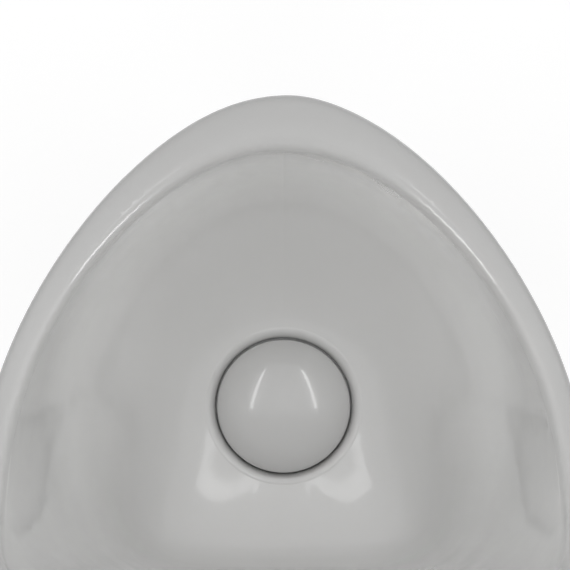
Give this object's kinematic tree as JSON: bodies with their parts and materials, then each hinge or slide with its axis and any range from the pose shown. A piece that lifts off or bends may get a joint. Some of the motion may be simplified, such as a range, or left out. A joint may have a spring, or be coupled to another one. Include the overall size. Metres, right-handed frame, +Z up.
{
  "type": "wall hung urinal",
  "caption": "Wall-hung ceramic urinal with rounded sweeping rim, deep bowl, loose domed drain cover, hidden trap, rear water inlet and concealed wall fixings.",
  "frame": {"origin": "on the finished wall, midway between the two hanger studs", "axes": "+Z up; +Y square into the wall, so the bowl stands out towards -Y; X to the user's right when they face the wall"},
  "size_m": [0.319, 0.3891, 0.6001],
  "materials": {
    "body_china": "glossy glaze",
    "cover_china": "glossy glaze",
    "white_plastic": "satin",
    "black_rubber": "matt",
    "brushed_steel": "brushed",
    "waste_plastic": "satin",
    "fibre": "matt",
    "trap_plastic": "satin",
    "pipe_plastic": "satin",
    "inlet_metal": "polished",
    "chrome": "polished",
    "zinc_steel": "zinc plated",
    "sleeve_plastic": "satin",
    "cap_plastic": "gloss"
  },
  "bodies": {
    "urinal": {"china_body": "body_china", "waste_flange": "waste_plastic", "waste_gasket": "black_rubber", "waste_washer": "fibre", "waste_nut": "waste_plastic", "trap_body": "trap_plastic", "trap_dip_tube": "trap_plastic", "trap_seal": "black_rubber", "outlet_pipe": "pipe_plastic", "outlet_union_nut": "trap_plastic", "outlet_union_seal": "black_rubber", "outlet_wall_cuff": "black_rubber", "flush_inlet_pipe": "inlet_metal", "inlet_seal": "black_rubber", "flush_spreader": "chrome", "hanger_studs": "zinc_steel", "hanger_sleeves": "sleeve_plastic", "hanger_washers": "zinc_steel", "hanger_nuts": "zinc_steel", "lower_angle_brackets": "zinc_steel", "side_screws": "zinc_steel", "side_screw_sleeves": "sleeve_plastic", "side_screw_caps": "cap_plastic"},
    "drain_cover": {"drain_cover_dome": "cover_china", "cover_carrier": "white_plastic", "cover_pads": "black_rubber"},
    "strainer": {"drain_strainer": "brushed_steel"}
  },
  "joints": [
    {"name": "cover_lift", "type": "slide", "parent": "urinal", "child": "drain_cover", "axis": [0, 0, 1], "range_m": [0, 0.15]},
    {"name": "strainer_lift", "type": "slide", "parent": "urinal", "child": "strainer", "axis": [0, 0, 1], "range_m": [0, 0.075]}
  ],
  "couplings": [
    {"joint": "strainer_lift", "follows": "cover_lift", "ratio": 0.5}
  ]
}
